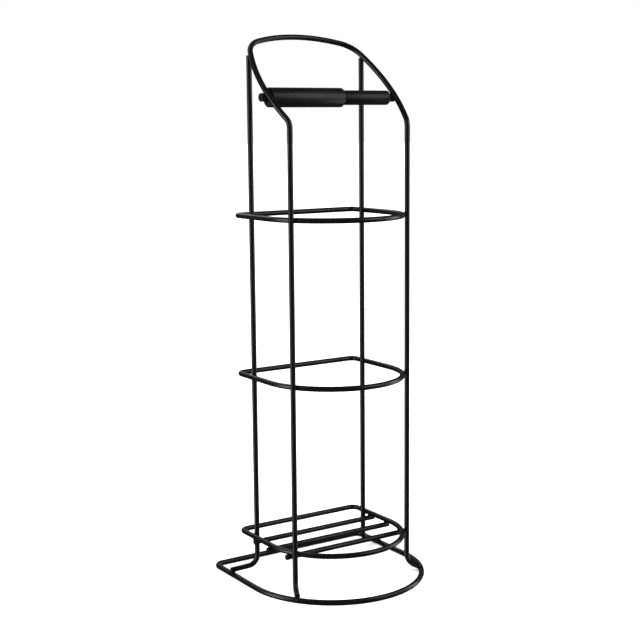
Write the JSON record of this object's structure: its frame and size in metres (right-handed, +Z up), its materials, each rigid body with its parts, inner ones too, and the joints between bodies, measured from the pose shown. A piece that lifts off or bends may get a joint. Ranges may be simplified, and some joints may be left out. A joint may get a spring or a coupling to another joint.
{
  "type": "toilet paper holder",
  "caption": "Free-standing wire toilet paper holder with a sloping hoop, a spring-loaded roller, D-shaped rings for spare rolls, a low wire shelf and a wide base ring.",
  "frame": {"origin": "on the floor, under the centre of the base ring's outline", "axes": "+Z up, +X to the right along the roller, -Y towards the person who uses it"},
  "size_m": [0.2116, 0.202, 0.61],
  "materials": {
    "coated_wire": "satin",
    "roller_plastic": "satin",
    "spring_steel": "satin"
  },
  "bodies": {
    "frame": {"hoop_frame": "coated_wire", "rear_upright_left": "coated_wire", "rear_upright_right": "coated_wire", "base_ring": "coated_wire", "shelf_ring": "coated_wire", "middle_ring": "coated_wire", "upper_ring": "coated_wire", "shelf_wire_back": "coated_wire", "shelf_wire_middle": "coated_wire", "shelf_wire_front": "coated_wire", "socket_left": "coated_wire", "socket_right": "coated_wire", "upper_ring_welds": "coated_wire", "middle_ring_welds": "coated_wire", "shelf_ring_welds": "coated_wire", "shelf_wire_welds": "coated_wire", "foot_welds": "coated_wire", "hoop_welds": "coated_wire", "socket_welds": "coated_wire"},
    "roller": {"roller_outer_tube": "roller_plastic", "roller_spring": "spring_steel"},
    "roller_plunger": {"roller_inner_tube": "roller_plastic"}
  },
  "joints": [
    {"name": "roller_spin", "type": "hinge", "parent": "frame", "child": "roller", "pos_m": [0, 0.004, 0.53899], "axis": [1, 0, 0], "continuous": true},
    {"name": "roller_compress", "type": "slide", "parent": "roller", "child": "roller_plunger", "axis": [-1, 0, 0], "range_m": [0, 0.014], "stiffness_N_per_m": 300, "springref_m": -0.02, "deforming": ["roller_spring"]}
  ]
}
